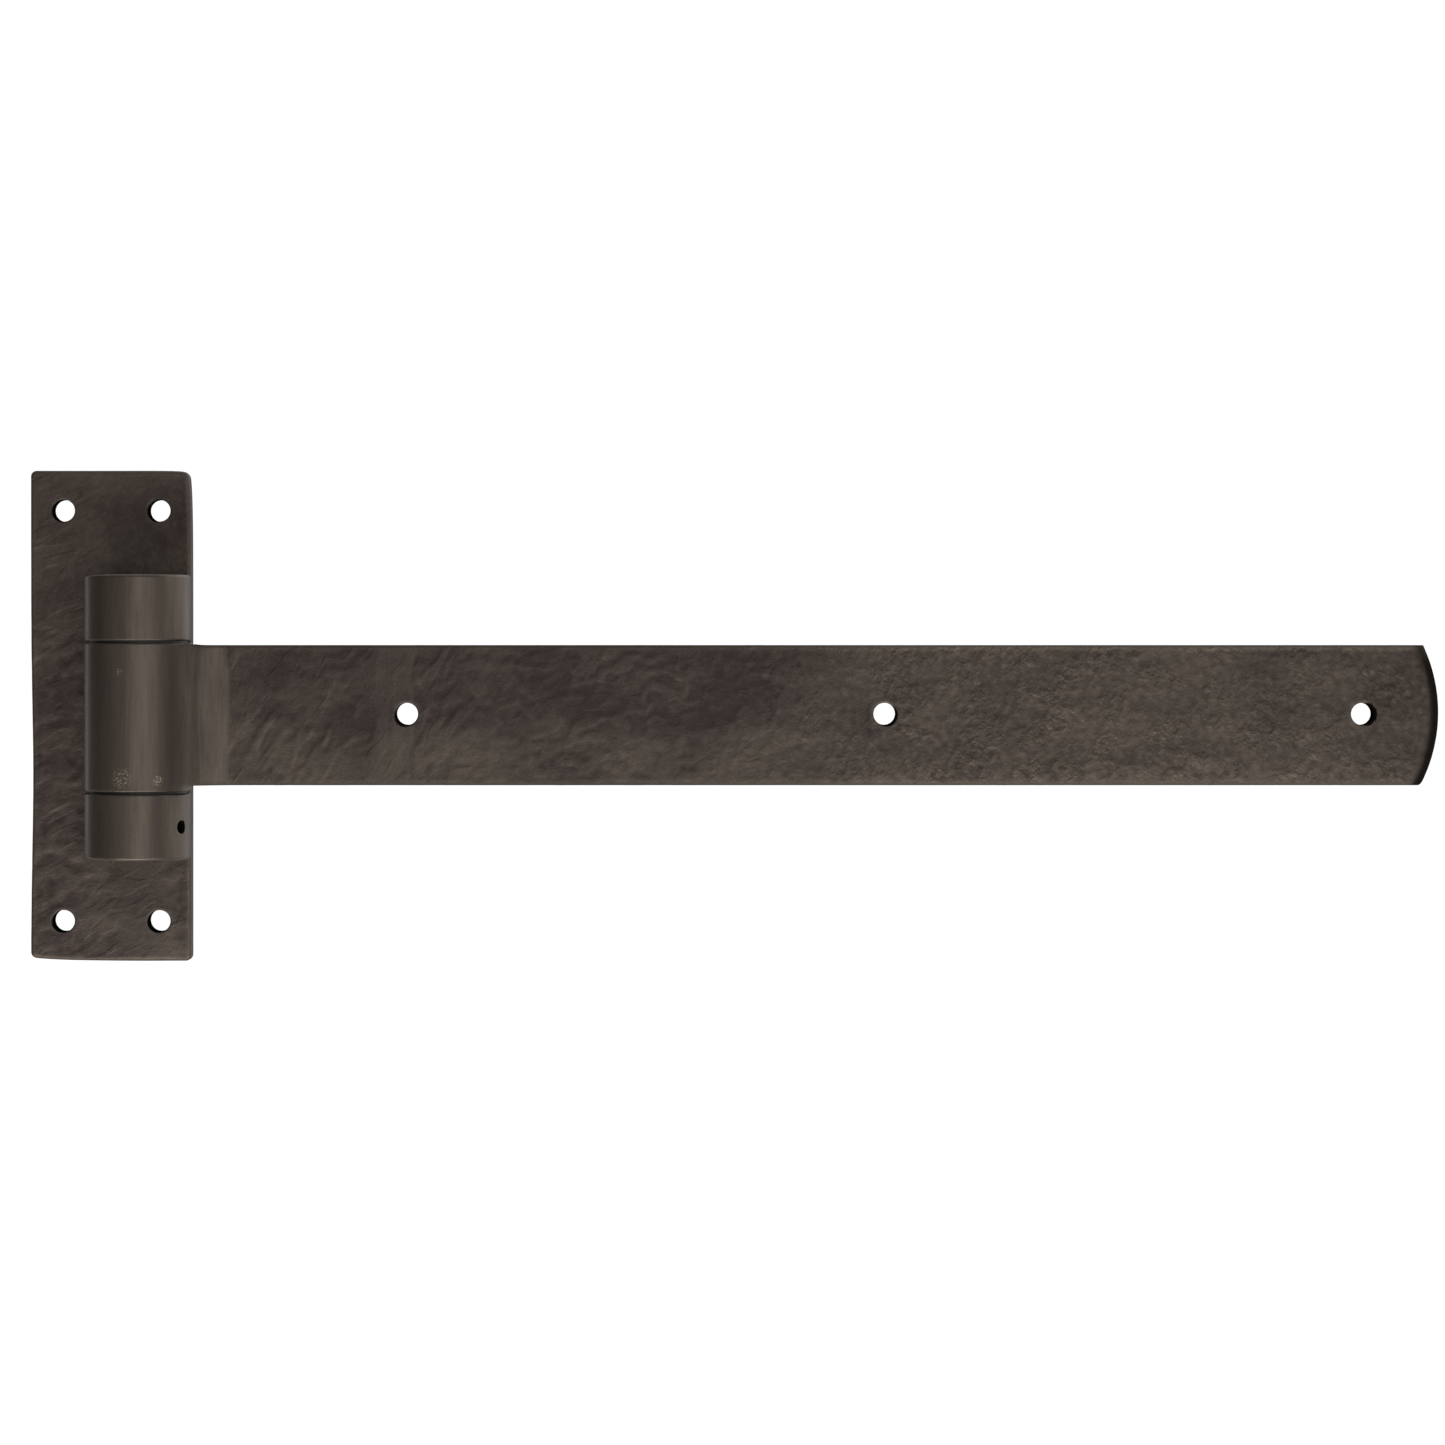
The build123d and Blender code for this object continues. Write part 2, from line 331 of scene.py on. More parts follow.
def hollow(centre, end, steps=10):
    """Run of a hollow along its circle, seen along the pin, from where it touches the barrel to its end.

    Points are given as x and y from the pin's axis: centre + radius (cos t, sin t).
    """
    start = atan2(-centre[1], -centre[0])
    radius = hypot(end[0] - centre[0], end[1] - centre[1])
    sweep = (atan2(end[1] - centre[1], end[0] - centre[0]) - start + pi) % (2 * pi) - pi
    turn = start + sweep * np.linspace(0, 1, steps + 1)
    return np.stack([centre[0] + radius * np.cos(turn), centre[1] + radius * np.sin(turn)], axis=1)


def neck(first_run, last_run, share):
    """Lines of points seen along the pin, from the barrel out to a flat, between two hollow runs.

    Each line is straight from run to run, plus what is left of the barrel's bow over its own chord,
    which fades along the way by a smooth step. share is how far along the line each point lies.
    Returns the lines, how far the bow has gone at each, and the turn of each point on the barrel.
    """
    first_turn = atan2(first_run[0, 1], first_run[0, 0])
    last_turn = atan2(last_run[0, 1], last_run[0, 0])
    turns = first_turn + (last_turn - first_turn) * share
    barrel = BARREL_RADIUS * np.stack([np.cos(turns), np.sin(turns)], axis=1)
    lines = first_run[:, None] + share[None, :, None] * (last_run - first_run)[:, None]
    gone = smooth(np.linspace(0, 1, len(first_run)), 0, 1)
    return lines + (1 - gone)[:, None, None] * (barrel - lines[0]), gone, turns


def knuckle_skin(low, high, bore, roundings, turns, levels):
    """A knuckle: a closed profile of radius against height, carried round the pin's axis.

    Returns the grid and the column where the levels of its outer wall begin.
    """
    bottom, top = roundings
    quarter = np.linspace(0, pi / 2, 5)[1:-1]
    lead = bore + 0.5 * MM
    under = np.linspace(lead, BARREL_RADIUS - bottom, 7)
    over = np.linspace(BARREL_RADIUS - top, lead, 7)
    inside = np.linspace(high - 0.5 * MM, low + 0.5 * MM, 5)
    radius = [
        under,
        BARREL_RADIUS - bottom * (1 - np.sin(quarter)),
        np.full(len(levels), BARREL_RADIUS),
        BARREL_RADIUS - top * (1 - np.cos(quarter)),
        over,
        np.full(len(inside), bore),
        under[:1],
    ]
    height = [
        np.full(len(under), low),
        low + bottom * (1 - np.cos(quarter)),
        levels,
        high - top * (1 - np.sin(quarter)),
        np.full(len(over), high),
        inside,
        [low],
    ]
    radius, height = np.concatenate(radius), np.concatenate(height)
    turn = turns[:, None]
    grid = stacked(AXIS.x + radius * np.cos(turn), AXIS.y + radius * np.sin(turn), height)
    return grid, len(under) + len(quarter)


# ---- butt plate ----

PIN_RECESS = 0.6 * MM
FOOT_INSET = 1.2 * MM
OUTER_ROUNDING = 1.0 * MM
INNER_ROUNDING = 0.4 * MM
PLATE_BORE = PIN_RADIUS + 0.02 * MM
STRAP_BORE = PIN_RADIUS + 0.05 * MM
COARSE_TURN = radians(4.5)
SCREW_RADIUS = (SCREW_HIGH.z - SCREW_LOW.z) / 2
SCREW_MIDDLE = (SCREW_LOW + SCREW_HIGH) / 2
SCREW_TURN = atan2(SCREW_MIDDLE.y - AXIS.y, SCREW_MIDDLE.x - AXIS.x) % (2 * pi)
MOUTH = 0.15 * MM  # chamfer of the set screw's hole


def screw_hole_skin(loop):
    """The set screw's hole: points on the barrel drawn in to a circle, over a chamfer and down to a floor.

    Each point is (q, h) across the screw's axis; on the barrel it lies sqrt(R^2 - q^2) out from the pin.
    """
    outward = np.array([cos(SCREW_TURN), sin(SCREW_TURN)])
    tangent = np.array([-sin(SCREW_TURN), cos(SCREW_TURN)])
    flat = loop[:, :2] - np.array([AXIS.x, AXIS.y])
    q, h = flat @ tangent, loop[:, 2] - SCREW_MIDDLE.z
    reach = np.hypot(q, h)
    circle_q, circle_h = q / reach, h / reach

    def row(q, h, out):
        place = np.outer(out, outward) + np.outer(q, tangent)
        return stacked(AXIS.x + place[:, 0], AXIS.y + place[:, 1], SCREW_MIDDLE.z + h)

    def on_barrel(q):
        return np.sqrt(BARREL_RADIUS**2 - q**2)

    wall = SCREW_RADIUS + 0.05 * MM
    mouth = wall + MOUTH
    floor = np.full(len(q), PIN_RADIUS + 0.35 * MM)
    rows = []
    for share in np.linspace(0, 1, 5):
        row_q, row_h = q + (mouth * circle_q - q) * share, h + (mouth * circle_h - h) * share
        rows.append(row(row_q, row_h, on_barrel(row_q)))
    top = on_barrel(wall * circle_q) - MOUTH
    for share in np.linspace(0, 1, 5):
        rows.append(row(wall * circle_q, wall * circle_h, top + (floor - top) * share))
    rows.append(row(0 * q, 0 * q, floor))
    return np.array(rows)


def plate_knuckle(skin, sizes, x_lines, z_lines, foot, sign):
    """One knuckle and its foot, and the block of the plate's face that the foot stands on."""
    outer = PIN_HIGH.z + PIN_RECESS
    inner = outer - sizes.knuckle_length
    low, high = sorted((sign * outer, sign * inner))
    roundings = (OUTER_ROUNDING, INNER_ROUNDING) if sign < 0 else (INNER_ROUNDING, OUTER_ROUNDING)
    foot_low, foot_high = low + FOOT_INSET, high - FOOT_INSET
    side = foot[-1, 0]
    block = (
        nearest(x_lines, AXIS.x - side),
        nearest(x_lines, AXIS.x + side),
        nearest(z_lines, foot_low),
        nearest(z_lines, foot_high),
    )
    share = (AXIS.x + side - x_lines[block[0]:block[1] + 1][::-1]) / (2 * side)
    heights = z_lines[block[2]:block[3] + 1]
    lines, gone, foot_turns = neck(foot, foot * (-1, 1), share)
    whole = (0, len(share) - 1, 0, len(heights) - 1)
    rings = [
        border(stacked(AXIS.x + line[:, :1], AXIS.y + line[:, 1:], heights), whole) for line in lines
    ]
    skin.fine(np.array(rings))
    levels = np.concatenate([
        np.linspace(low + roundings[0], foot_low, 3)[:-1],
        heights,
        np.linspace(foot_high, high - roundings[1], 3)[1:],
    ])
    screw_reach = asin(3.0 * MM / BARREL_RADIUS)
    turns = np.concatenate([
        foot_turns,
        stations([foot_turns[-1], SCREW_TURN - screw_reach], COARSE_TURN)[1:],
        stations([SCREW_TURN - screw_reach, SCREW_TURN + screw_reach], sizes.pitch / BARREL_RADIUS)[1:],
        stations([SCREW_TURN + screw_reach, foot_turns[0] + 2 * pi], COARSE_TURN)[1:],
    ])
    grid, first = knuckle_skin(low, high, PLATE_BORE, roundings, turns, levels)
    blocks = [(0, len(share) - 1, first + 2, first + 2 + len(heights) - 1)]
    if sign < 0:
        middle = first + 2 + (len(heights) - 1) // 2
        screw_block = (
            nearest(turns, SCREW_TURN - screw_reach),
            nearest(turns, SCREW_TURN + screw_reach),
            middle - 5,
            middle + 5,
        )
        blocks.append(screw_block)
        skin.fine(screw_hole_skin(border(grid, screw_block)))
    skin.fine(grid, cells(grid, blocks))
    return block


def plate_piece(sizes):
    """Butt plate and its knuckles, in one closed skin before its relief is pressed in."""
    skin = Skin()
    height = -PLATE_THICKNESS - AXIS.y
    side = sqrt((BARREL_RADIUS + sizes.foot_fillet) ** 2 - (height - sizes.foot_fillet) ** 2)
    foot = hollow((side, height - sizes.foot_fillet), (side, height))
    edge = PLATE_RIGHT - AXIS.x - side  # the plate's edge rounds off where the foot's hollow ends
    outer = PIN_HIGH.z + PIN_RECESS - FOOT_INSET
    inner = outer - sizes.knuckle_length + 2 * FOOT_INSET
    about = np.array([-HOLE_REACH, HOLE_REACH])
    x_breaks = [*(about - HOLE_X), AXIS.x - side, *(about + HOLE_X)]
    half_breaks = [inner, outer, *(about + HOLE_Z)]
    z_breaks = [-place for place in half_breaks[::-1]] + half_breaks
    x_lines = with_edges(PLATE_LOW.x, PLATE_RIGHT, edge, x_breaks, sizes.pitch)
    z_lines = with_edges(PLATE_LOW.z, PLATE_HIGH.z, edge, z_breaks, sizes.pitch)
    low, high = (PLATE_LOW.x, PLATE_LOW.z), (PLATE_RIGHT, PLATE_HIGH.z)
    x, z = round_corners(x_lines[:, None], z_lines[None, :], low, high, sizes.plate_corner)
    inside = outline_distance(x, z, low, high, sizes.plate_corner)
    front = stacked(x, roll(inside, edge, edge) - PLATE_THICKNESS, z)
    back = stacked(x, -roll(inside, BACK_EDGE, BACK_EDGE), z)
    places = list(product((-HOLE_X, HOLE_X), (-HOLE_Z, HOLE_Z)))
    holes = [block_round(x_lines, z_lines, place, HOLE_REACH) for place in places]
    feet = [plate_knuckle(skin, sizes, x_lines, z_lines, foot, sign) for sign in (-1, 1)]
    skin.fine(front, cells(front, holes + feet))
    skin.coarse(back, cells(back, holes))
    for place, block in zip(places, holes):
        skin.fine(hole_skin(border(front, block), border(back, block), place))
    whole = (0, len(x_lines) - 1, 0, len(z_lines) - 1)
    skin.fine(between(border(front, whole), border(back, whole), WALL_STEPS))
    return skin.weld("plate_casting")


# ---- strap ----


def tip_line(sizes, z):
    """Where the strap ends at each height: an arc, nipped in where it meets the lower edge."""
    middle = sizes.strap_rise
    drop = z - middle - sizes.tip_rise
    lower = z - (middle - sizes.strap_width / 2)
    nip = 0.7 * MM * np.clip(1 - lower / (1.3 * MM), 0, 1) ** 2
    return STRAP_HIGH.x - sizes.tip_radius + np.sqrt(sizes.tip_radius**2 - drop**2) - nip


def strap_sheets(sizes, x_lines, z_lines, low, high):
    """Front and back faces. Past the last hole the grid's lines lean over to follow the tip's arc."""
    start = BOLT_PLACES[-1] + HOLE_REACH
    lean = np.clip((x_lines - start) / (STRAP_HIGH.x - start), 0, 1)[:, None]
    tip = tip_line(sizes, z_lines)[None, :]
    x = x_lines[:, None] + lean * (tip - STRAP_HIGH.x)
    z = np.broadcast_to(z_lines, x.shape)
    from_edge = np.minimum(z - low, high - z)
    from_tip = tip - x
    edge_drop = roll(from_edge, sizes.strap_edge, sizes.strap_edge)
    tip_drop = roll(from_tip, sizes.tip_roll, TIP_DROP)
    front_drop = np.hypot(edge_drop, tip_drop)
    back_drop = np.hypot(roll(from_edge, BACK_EDGE, BACK_EDGE), roll(from_tip, BACK_EDGE, BACK_EDGE))
    front = stacked(x, STRAP_FRONT + front_drop, z)
    back = stacked(x, AXIS.y + STRAP_THICKNESS / 2 - back_drop, z)
    return front, back


def root_runs(sizes):
    """Front and back runs of the strap's root, from the barrel to the crease.

    In front one long hollow passes through the crease: its centre lies blend_radius from the crease
    and that much further than the barrel's surface from the axis. Behind, a small hollow comes first.
    """
    crease = Vector((sizes.blend_reach, -STRAP_THICKNESS / 2))
    away = BARREL_RADIUS + sizes.blend_radius
    along = (away**2 - sizes.blend_radius**2 + crease.length_squared) / (2 * crease.length)
    ahead = crease.normalized()
    centre = ahead * along + Vector((ahead.y, -ahead.x)) * sqrt(away**2 - along**2)
    front = hollow(centre, crease, 2 * ROOT_STEPS)
    side = STRAP_THICKNESS / 2 + sizes.root_fillet
    out = sqrt((BARREL_RADIUS + sizes.root_fillet) ** 2 - side**2)
    curve = hollow((out, side), (out, STRAP_THICKNESS / 2), ROOT_STEPS)
    flat = np.linspace(curve[-1], (sizes.blend_reach, STRAP_THICKNESS / 2), ROOT_STEPS + 1)
    return front, np.concatenate([curve, flat[1:]])


def strap_piece(sizes):
    """Strap and its knuckle, in one closed skin before its relief is pressed in."""
    skin = Skin()
    low, high = sizes.strap_rise - sizes.strap_width / 2, sizes.strap_rise + sizes.strap_width / 2
    bolt_breaks = [BOLT_Z - HOLE_REACH, BOLT_Z + HOLE_REACH]
    z_lines = with_edges(low, high, sizes.strap_edge, bolt_breaks, sizes.pitch)
    x_breaks = [AXIS.x + sizes.blend_reach]
    for place in BOLT_PLACES:
        x_breaks += [place - HOLE_REACH, place + HOLE_REACH]
    x_lines = stations(x_breaks + [STRAP_HIGH.x - sizes.tip_roll], sizes.pitch)
    x_lines = np.concatenate([x_lines, (STRAP_HIGH.x - edge_steps(sizes.tip_roll, 6)[:-1])[::-1]])
    front, back = strap_sheets(sizes, x_lines, z_lines, low, high)
    places = [(place, BOLT_Z) for place in BOLT_PLACES]
    holes = [block_round(x_lines, z_lines, place, HOLE_REACH) for place in places]
    skin.fine(front, cells(front, holes))
    skin.coarse(back, cells(back, holes))
    for place, block in zip(places, holes):
        skin.fine(hole_skin(border(front, block), border(back, block), place))
    front_rim, back_rim = [
        np.concatenate([sheet[:, -1], sheet[-1, -2::-1], sheet[-2::-1, 0]]) for sheet in (front, back)
    ]
    skin.fine(between(front_rim, back_rim, WALL_STEPS))
    share = np.linspace(0, 1, WALL_STEPS + 1)
    lines, gone, root_turns = neck(*root_runs(sizes), share)
    from_edge = np.minimum(z_lines - low, high - z_lines)
    front_edge = roll(from_edge, sizes.strap_edge, sizes.strap_edge)
    back_edge = roll(from_edge, BACK_EDGE, BACK_EDGE)
    rings = []
    for line, faded in zip(lines, gone):
        near, far = faded * front_edge, -faded * back_edge
        y = AXIS.y + line[:, 1:] + near + (far - near) * share[:, None]
        block = stacked(AXIS.x + line[:, :1], y, z_lines)
        rings.append(border(block, (0, WALL_STEPS, 0, len(z_lines) - 1)))
    skin.fine(np.array(rings))
    levels = np.concatenate([
        np.linspace(STRAP_LOW.z + INNER_ROUNDING, low, 3)[:-1],
        z_lines,
        np.linspace(high, STRAP_HIGH.z - INNER_ROUNDING, 3)[1:],
    ])
    rest = stations([root_turns[-1], root_turns[0] + 2 * pi], COARSE_TURN)[1:]
    turns = np.concatenate([root_turns, rest])
    roundings = (INNER_ROUNDING, INNER_ROUNDING)
    grid, first = knuckle_skin(STRAP_LOW.z, STRAP_HIGH.z, STRAP_BORE, roundings, turns, levels)
    window = (0, WALL_STEPS, first + 2, first + 2 + len(z_lines) - 1)
    skin.fine(grid, cells(grid, [window]))
    return skin.weld("strap_casting")


# ---- relief of the cast skin ----

NOISE_START = 40.0  # where the hinge's origin lies in the lattice
PLATE_BACK, STRAP_BACK = -0.5, -21.2  # y in millimetres beyond which a casting's skin is its back
PLATE_BACK_SHARE, STRAP_BACK_SHARE = 0.3, 0.5  # how much of the relief the flatter backs have
SIDEWAYS = 0.15  # how much of its depth the skin sinks along x and z, so that the outline stays as cut


def noise(p, size, seed, turn=0.0):
    """Gradient noise of about -1 to 1 with lumps of that size in millimetres, or sizes along the axes.

    Random slopes at the corners of a lattice are blended by 6t^5 - 15t^4 + 10t^3. turn swings the
    lattice about Y, in degrees, so that lumps longer one way lie at that slope on the front face.
    """
    draw = np.random.default_rng(seed)
    table = draw.permutation(256)
    slopes = draw.normal(size=(256, 3))
    slopes /= np.linalg.norm(slopes, axis=1)[:, None]
    c, s = cos(radians(turn)), sin(radians(turn))
    turned = np.stack([p[:, 0] * c + p[:, 2] * s, p[:, 1], p[:, 2] * c - p[:, 0] * s], axis=1)
    place = turned / (np.broadcast_to(size, 3) * MM) + NOISE_START
    cell = np.floor(place).astype(int)
    t = place - cell
    fade = t**3 * (t * (t * 6 - 15) + 10)
    total = np.zeros(len(p))
    for corner in product((0, 1), repeat=3):
        i, j, k = (cell + corner).T & 255
        slope = slopes[table[(table[(table[i] + j) & 255] + k) & 255]]
        weight = np.where(corner, fade, 1 - fade).prod(axis=1)
        total += weight * (slope * (t - corner)).sum(axis=1)
    return 1.7 * total


def folds(p, size, seed, turn, sharp):
    """Flat lumps with steep flanks: n / sqrt(n^2 + sharp^2), of noise whose place is stirred by noise."""
    stir = np.stack([noise(p, 9, seed + step) for step in (50, 60, 70)], axis=1)
    n = noise(p + 2.0 * MM * stir, size, seed, turn)
    return n / np.sqrt(n * n + sharp * sharp)


def away_from_holes(p, places):
    """1 on the open face, falling to 0 at the rims of the screw holes."""
    factor = np.ones(len(p))
    for x, z in places:
        reach = np.hypot(p[:, 0] - x, p[:, 2] - z) - HOLE_RADIUS
        factor *= smooth(reach, 0.3 * MM, 2.5 * MM)
    return factor


def from_barrel(p):
    """How far out from the knuckles' round wall."""
    return np.hypot(p[:, 0] - AXIS.x, p[:, 1] - AXIS.y) - BARREL_RADIUS


def off_barrel(p, start=0.3 * MM, stop=4 * MM):
    """0 on the ground barrel, rising to 1 a little way off it."""
    return smooth(from_barrel(p), start, stop)


# In the functions from here on x, y and z are millimetres, and so are depths until they are times MM.


def plate_relief(p, places):
    """Depth of the plate's skin below its high spots: level at the top, lumpy to the left and below."""
    x, y, z = (p / MM).T
    beside = smooth(x, -3, -9) * smooth(z, 42, 26) * smooth(z, -56, -46)
    below = smooth(z, -40, -50)
    crumples = folds(p, (9, 9, 5), 11, 14, 0.3)
    strokes = folds(p, (10, 10, 4.2), 12, 28, 0.3)
    relief = 0.1 * noise(p, 15, 13) + 0.03 * noise(p, 2.4, 14)
    relief += 0.13 * beside * crumples + 0.1 * below * strokes
    relief += (beside + below) * 0.1 * noise(p, 4.2, 15)
    return sunk(p, relief * away_from_holes(p, places), np.where(y > PLATE_BACK, PLATE_BACK_SHARE, 1.0))


def sunk(p, relief, share):
    """Depth in metres: a share of the relief about its level, at most 1 mm, and nothing on the barrel."""
    return np.clip(LEVEL / MM + relief, 0, 1) * MM * off_barrel(p) * share


def plate_outline(p):
    """Hand-finished outline of the plate: its left side sways in, and its corners are pulled in."""
    x, z = p[:, 0] / MM, p[:, 2] / MM
    left = smooth(x, -20.5, -26.3)
    right = smooth(x, 20.5, 26.3)
    sway = 0.7 * np.exp(-(((z + 20) / 34) ** 2))
    corner = 0.9 * np.exp((z - 79.5) / 8)
    moved = p.copy()
    moved[:, 0] += MM * left * sway
    moved[:, 0] -= MM * right * (0.5 + corner)
    moved[:, 2] += MM * smooth(z, -74, -79.5) * 1.1 * np.exp(-(x + 26.3) / 9)
    moved[:, 2] -= MM * smooth(z, 74, 79.5) * 0.6 * np.exp(-(26.3 - x) / 3)
    return moved


def dressing_edge(p):
    """How far along, in millimetres, the strap was dressed smooth: a line that wavers a little."""
    return 40 + 0.9 * noise(p, (30, 30, 7), 27)


def strap_relief(p, places):
    """Depth of the strap's skin: slanting tool strokes near the root, crumples, and pebbles to the tip."""
    x, y, z = (p / MM).T
    strokes = folds(p, (11, 11, 3.6), 21, 58, 0.15)
    crumples = folds(p, (7, 7, 4), 22, 15, 0.3)
    near_root = smooth(x, 150, 95)
    to_tip = smooth(x, 170, 260)
    patches = smooth(noise(p, 20, 25), -0.35, 0.35)
    relief = 0.08 * noise(p, 17, 24) + 0.03 * noise(p, 2.8, 26)
    relief += 0.1 * near_root * patches * strokes + 0.1 * (1 - 0.5 * near_root) * (1 - to_tip) * crumples
    relief += to_tip * (0.06 * noise(p, (2.1, 2.0, 2.4), 23) + 0.08 * noise(p, 4.5, 28))
    edge = dressing_edge(p)
    dressed = smooth(x, edge + 1.2, edge - 0.4)
    ground_band = smooth(x, 86, 89) * smooth(x, 100.5, 98.5)
    relief *= (1 - 0.85 * dressed) * (1 - 0.8 * ground_band)
    groove = np.exp(-(((x - edge - 0.6) / 0.7) ** 2)) * smooth(z, -8, 20)
    relief += 0.1 * groove + 0.07 * ground_band - 0.08 * dressed
    return sunk(p, relief * away_from_holes(p, places), np.where(y > STRAP_BACK, STRAP_BACK_SHARE, 1.0))


def strap_outline(p):
    """The strap's long edges stand out a little, and the upper one flares where it leaves the knuckle."""
    x, z = p[:, 0] / MM, p[:, 2] / MM
    flare = 0.5 * np.exp(-np.maximum(x - 28.3, 0) / 1.4) * smooth(z, 12, 22)
    moved = p.copy()
    spread = 0.15 * (smooth(z, 20.8, 22.8) - smooth(z, -19.7, -21.7))
    moved[:, 2] += MM * (flare + spread) * off_barrel(p, 0.2 * MM, 1.2 * MM)
    return moved


def read(items, name):
    """Three numbers of each item of a mesh, as an array."""
    flat = np.empty(len(items) * 3, np.float32)
    items.foreach_get(name, flat)
    return flat.reshape(-1, 3).astype(float)


def press(piece, depth, outline, low, high):
    """Sink each vertex along its normal by its depth, change the outline, and stay in the casting's box."""
    mesh = piece.data
    p = read(mesh.vertices, "co")
    sink = read(mesh.vertex_normals, "vector") * depth(p)[:, None] * (SIDEWAYS, 1.0, SIDEWAYS)
    pressed = np.clip(outline(p - sink), np.array(low), np.array(high))
    mesh.vertices.foreach_set("co", pressed.astype(np.float32).ravel())
    mesh.update()


def bulge(mesh, rounds=2):
    """How far each vertex stands out of its neighbours' mean along its normal, spread over some rounds."""
    p = read(mesh.vertices, "co")
    ends = np.empty(len(mesh.edges) * 2, np.int32)
    mesh.edges.foreach_get("vertices", ends)
    a, b = ends.reshape(-1, 2).T
    degree = np.bincount(ends, minlength=len(p))[:, None]

    def mean(values):
        total = np.zeros_like(values)
        np.add.at(total, a, values[b])
        np.add.at(total, b, values[a])
        return total / degree

    out = ((p - mean(p)) * read(mesh.vertex_normals, "vector")).sum(axis=1, keepdims=True)
    for _ in range(rounds):
        out = (out + mean(out)) / 2
    return out[:, 0]


# ---- materials ----


def linear(hex_colour):
    """Linear colour of an sRGB hex value."""
    parts = [int(hex_colour[i:i + 2], 16) / 255 for i in (1, 3, 5)]
    return [c / 12.92 if c <= 0.04045 else ((c + 0.055) / 1.055) ** 2.4 for c in parts] + [1.0]


def add_node(tree, kind, inputs=(), output=0, **settings):
    """Add a node with its settings, and set or link its inputs, given in order or by name or number.

    Returns the output that is asked for, if the node has any.
    """
    node = tree.nodes.new("ShaderNode" + kind)
    for name, value in settings.items():
        setattr(node, name, value)
    for name, value in inputs.items() if isinstance(inputs, dict) else enumerate(inputs):
        if isinstance(value, bpy.types.NodeSocket):
            tree.links.new(value, node.inputs[name])
        else:
            node.inputs[name].default_value = value
    return node.outputs[output] if node.outputs else None


def new_material(name, hex_colour):
    """Material with no nodes yet: itself, how to add a node to it, and the place on the piece."""
    material = bpy.data.materials.new(name)
    material.use_nodes = True
    material.node_tree.nodes.clear()
    material.diffuse_color = linear(hex_colour)
    add = partial(add_node, material.node_tree)
    return material, add, add("TexCoord", output="Object")


def surfaced(material, inputs):
    """The material with its one shader."""
    shader = add_node(material.node_tree, "BsdfPrincipled", inputs)
    add_node(material.node_tree, "OutputMaterial", {"Surface": shader})
    return material


def lumps(add, place, size, detail, roughness=0.5, distortion=0.0, slope=0.0):
    """Noise whose lumps have that size in millimetres, their long way at a slope on the front face."""
    inputs = {"Vector": place, "Rotation": (0, -radians(slope), 0), "Scale": [side * MM for side in size]}
    inputs = {
        "Vector": add("Mapping", inputs, vector_type="TEXTURE"),
        "Scale": 1.0,
        "Detail": detail,
        "Roughness": roughness,
        "Distortion": distortion,
    }
    return add("TexNoise", inputs, "Fac")


def sum_of(add, total, *parts):
    """A total plus patterns, each given with its share, which may be a pattern too."""
    for pattern, share in parts:
        total = add("Math", (pattern, share, total), operation="MULTIPLY_ADD")
    return total


def layered(add, colour, *layers):
    """A colour under layers, each given as how far it covers and its own colour."""
    for cover, layer in layers:
        colour = add("Mix", {0: cover, 6: colour, 7: layer}, 2, data_type="RGBA")
    return colour


def wrinkles(add, place, size, slope):
    """Low steps that run along a slope and come and go: narrow flanks where a noise crosses its middle."""
    steps = add("MapRange", (lumps(add, place, size, 1, 0.5, 0.6, slope), 0.46, 0.54))
    patches = add("MapRange", (lumps(add, place, (9, 9, 9), 1), 0.42, 0.58))
    return add("Math", (steps, patches), operation="MULTIPLY")


def chips(add, place, nicks):
    """Small chips in the patina: the peaks of a fine noise, within reach of some points of the face."""
    near = 0.0
    for *middle, reach in nicks:
        away = add("VectorMath", (place, [side * MM for side in middle]), "Value", operation="DISTANCE")
        near = sum_of(add, near, (add("MapRange", (away, 0.5 * reach * MM, reach * MM, 1, 0)), 1))
    peaks = add("MapRange", (lumps(add, place, (0.5, 0.5, 0.7), 2, 0.7), 0.54, 0.6))
    return add("Math", (near, peaks), operation="MULTIPLY")


